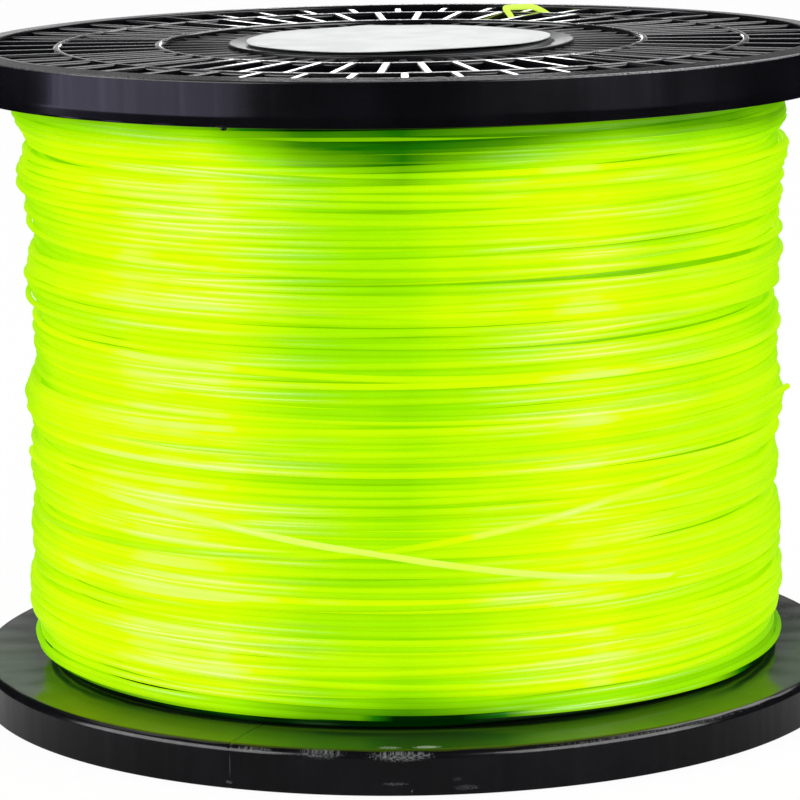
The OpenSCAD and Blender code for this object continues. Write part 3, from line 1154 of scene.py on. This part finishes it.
class SPOOL_OT_flanges(Operator):
    """Add both moulded flanges, with the nib of the upper one"""

    bl_idname = "spool.flanges"
    bl_label = "Flanges"

    def execute(self, context):
        settings = context.scene.spool_body
        # Which one, height of its inner face, way of its ribs, lip, share of the seam, scuffs and
        # painted highlights
        for which, base, way, lip, seam, scuffs_and_highlights in (
            ("upper", WIND_TOP, 1, UPPER_LIP, 0.35, PAINTED_EDGE_HIGHLIGHTS),
            ("lower", WIND_BOTTOM, -1, LOWER_LIP, 1, SCUFFS),
        ):
            name = f"{which}_flange_moulding"
            piece = make_flange(name, settings, lip, seam)
            if which == "upper":
                piece = join(name, [piece, gate_nib()])
            place_mesh(piece, base, way)
            smooth(piece)
            paint = moulded_plastic(f"{which}_black_plastic", settings, base, way, scuffs_and_highlights)
            dress(piece, paint, "black_plastic", f"{which}_flange")
        return {"FINISHED"}


class SPOOL_OT_hidden_body(Operator):
    """Give the barrel and the arbor sleeve their plastic"""

    bl_idname = "spool.hidden_body"
    bl_label = "Barrel and sleeve"

    def execute(self, context):
        settings = context.scene.spool_body
        for node in ("barrel", "arbor_sleeve"):
            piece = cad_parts[node]
            piece.data.materials.clear()
            piece.data.materials.append(plain_plastic(f"{node}_plastic", settings))
        return {"FINISHED"}


class SPOOL_OT_label(Operator):
    """Add the bare paper label, whose edge lifts off the hub here and there"""

    bl_idname = "spool.label"
    bl_label = "Label"

    def execute(self, context):
        settings = context.scene.spool_body
        rings, spokes, thick, gap = 18, 144, 0.2, 0.03
        angle = np.arange(spokes) * 360 / spokes
        # The edge lifts most at the front's right, in a narrow flap behind, and in waves
        waves = 0.15 * np.sin(np.radians(angle * 5))
        curl = settings.curl / MM * (hump(angle, 40, 60) + 0.5 * hump(angle, 193, 9) + waves)
        under = [np.array([[0, 0, LABEL_Z + gap]])]
        for k in range(1, rings + 1):
            radius = LABEL_R * (k / rings) ** 0.8
            lift = np.maximum(curl * (radius / LABEL_R) ** 8, 0)
            under.append(polar(angle, np.full(spokes, radius), LABEL_Z + gap + lift))
        points = np.concatenate(under)
        points[:, 0] += LABEL_X
        count = len(points)
        faces = [(0, 1 + (k + 1) % spokes, 1 + k) for k in range(spokes)]
        starts = [1 + ring * spokes for ring in range(rings)]
        for a, b in zip(starts, starts[1:]):
            faces += quads(a, b, spokes)
        faces += [tuple(v + count for v in reversed(face)) for face in faces]
        faces += quads(starts[-1], starts[-1] + count, spokes)
        points = np.concatenate([points, points + [0, 0, thick]])
        piece = new_object("paper_label", points, faces)
        smooth(piece)
        dress(piece, label_paper(settings), "label_paper", "upper_label")
        return {"FINISHED"}


class SPOOL_OT_winding(Operator):
    """Wind the line: separate outer layers, the last turns and the inner layers"""

    bl_idname = "spool.winding"
    bl_label = "Winding"

    def execute(self, context):
        settings = context.scene.spool_line
        drum, points, tone = wind(settings)
        size = math.ceil(len(points) / settings.layers)
        for k in range(settings.layers):
            # Each layer starts at the point where the one before it ends
            part = slice(k * size, (k + 1) * size + 1)
            node = "line_outer_turns" if k == settings.layers - 1 else "line_core"
            sweep(f"winding_layer_{k + 1}", points[part], tone[part], 8, settings, node)

        angles = np.arange(-180, 180, 360 / TURN_STEPS)
        height, radius = drum.lay_over(angles, CLIMBING_TURN, 0.8)
        # Behind, it goes under the other turns
        radius = radius - 0.5 * np.interp(np.abs(angles), [100, 150], [0, 1])
        tone = np.interp(angles, *zip(*CLIMBING_PAINTED_SHADE))
        sweep("climbing_turn", polar(angles, radius, height), tone, 10, settings)

        angles = np.arange(LAST_TURN[0][0], LAST_TURN[-1][0] + 0.1, 360 / TURN_STEPS)
        height, radius = drum.lay_over(angles, LAST_TURN, 0.9)
        radius = radius + 0.05 + np.interp(angles, *zip(*LAST_STAND_OFF))
        tone = np.interp(angles, *zip(*LAST_PAINTED_SHADE))
        sweep("last_turn", polar(angles, radius, height), tone, 10, settings, "line_last_turn")

        inner_layers(settings)
        return {"FINISHED"}


class SPOOL_OT_stage(Operator):
    """Add the pale floor, the soft lights and the white room"""

    bl_idname = "spool.stage"
    bl_label = "Stage"

    def execute(self, context):
        settings = context.scene.spool_studio
        context.scene.view_settings.view_transform = "Standard"

        angles = np.arange(0, 360, 3.75)
        ring = polar(angles, FLOOR_R, np.zeros(len(angles)))
        floor = new_object("floor", ring, [tuple(range(len(ring)))])
        floor.data.materials.append(floor_paint())

        # Name, compass angle, distance and height, size, power
        for name, angle, away, high, size, power in (
            ("left_light", -64, 0.9, 0.38, (1.1, 0.55), settings.left),
            ("right_light", 53, 0.9, 0.4, (1.0, 0.55), settings.right),
            ("back_panel", 180, 1.6, 0.245, (0.19, 0.08), settings.back),
            ("top_light", 155, 0.9, 0.95, (1.0, 0.7), settings.top),
        ):
            soft_light(name, polar(angle, away, high), size, power)

        context.scene.world = studio_world(settings.ambient)
        return {"FINISHED"}


class SPOOL_PT_panel(Panel):
    """Sizes, colours and steps of the spool"""

    bl_idname = "SPOOL_PT_panel"
    bl_label = "Fishing line spool"
    bl_space_type = "VIEW_3D"
    bl_region_type = "UI"
    bl_category = "Spool"

    def draw(self, context):
        layout = self.layout
        for group in ("spool_line", "spool_body", "spool_studio"):
            settings = getattr(context.scene, group)
            box = layout.box()
            box.label(text=settings.bl_rna.description)
            for name in settings.__annotations__:
                box.prop(settings, name)
        for step in STEPS:
            layout.operator(step.bl_idname)


STEPS = (
    SPOOL_OT_camera,
    SPOOL_OT_start_tail,
    SPOOL_OT_stage,
    SPOOL_OT_flanges,
    SPOOL_OT_hidden_body,
    SPOOL_OT_label,
    SPOOL_OT_winding,
)
CLASSES = (SpoolLine, SpoolBody, SpoolStudio, *STEPS, SPOOL_PT_panel)


def register():
    for cls in CLASSES:
        bpy.utils.register_class(cls)
    bpy.types.Scene.spool_line = PointerProperty(type=SpoolLine)
    bpy.types.Scene.spool_body = PointerProperty(type=SpoolBody)
    bpy.types.Scene.spool_studio = PointerProperty(type=SpoolStudio)


def unregister():
    del bpy.types.Scene.spool_line, bpy.types.Scene.spool_body, bpy.types.Scene.spool_studio
    for cls in reversed(CLASSES):
        bpy.utils.unregister_class(cls)


def main():
    register()
    for step in STEPS:
        group, name = step.bl_idname.split(".")
        result = getattr(getattr(bpy.ops, group), name)()
        if result != {"FINISHED"}:
            raise RuntimeError(f"{step.bl_label} did not finish")


if __name__ == "__main__":
    main()
